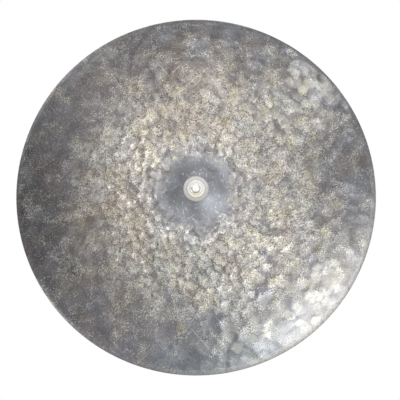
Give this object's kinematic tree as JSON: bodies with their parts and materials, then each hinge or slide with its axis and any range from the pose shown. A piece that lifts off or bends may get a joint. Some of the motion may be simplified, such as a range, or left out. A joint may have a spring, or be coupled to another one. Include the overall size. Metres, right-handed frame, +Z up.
{
  "type": "tam-tam gong",
  "caption": "Hammered bronze tam-tam disc with a small raised cup, hung between felt washers on a centre stud, where it rocks and turns freely; a dome nut keeps it on.",
  "frame": {"origin": "on the stud's axis at the back face of the jam nut, where the free tail of the stud begins", "axes": "+Y along the stud towards the stand, so the struck face looks to -Y; +Z up; +X to the right as seen from the front"},
  "size_m": [0.508, 0.1125, 0.5031],
  "materials": {
    "patinated_bronze": "hand-hammered bronze sheet with a dark grey patina and gold flecks",
    "wool_felt": "pressed pale grey wool felt",
    "zinc_steel": "bright zinc plate",
    "nickel_steel": "bright nickel plate",
    "nylon": "turned natural nylon"
  },
  "bodies": {
    "stud": {"mounting_stud": "zinc_steel", "jam_nut": "zinc_steel", "seat_nut": "zinc_steel", "rear_washer": "zinc_steel"},
    "sleeve": {"sleeve": "nylon"},
    "felt_seat": {"rear_felt": "wool_felt"},
    "disc": {"gong_disc": "patinated_bronze"},
    "front_stack": {"front_felt": "wool_felt", "front_washer": "nickel_steel"},
    "cap_nut": {"dome_nut": "nickel_steel"}
  },
  "joints": [
    {"name": "sleeve_turn", "type": "hinge", "parent": "stud", "child": "sleeve", "pos_m": [0, -0.02574, 0], "axis": [0, -1, 0], "continuous": true},
    {"name": "disc_rock", "type": "hinge", "parent": "sleeve", "child": "felt_seat", "pos_m": [0, -0.02574, 0], "axis": [1, 0, 0], "range_deg": [0, 16]},
    {"name": "disc_spin", "type": "hinge", "parent": "felt_seat", "child": "disc", "pos_m": [0, -0.02574, 0], "axis": [0, -0.9903, 0.1392], "continuous": true},
    {"name": "washer_slide", "type": "slide", "parent": "stud", "child": "front_stack", "axis": [0, -1, 0], "range_m": [0, 0.009]},
    {"name": "nut_turn", "type": "hinge", "parent": "front_stack", "child": "cap_nut", "pos_m": [0, -0.0375, 0], "axis": [0, -1, 0], "range_deg": [0, 2520]}
  ],
  "couplings": [
    {"joint": "washer_slide", "follows": "nut_turn", "m_per_rad": 0.00019894}
  ]
}
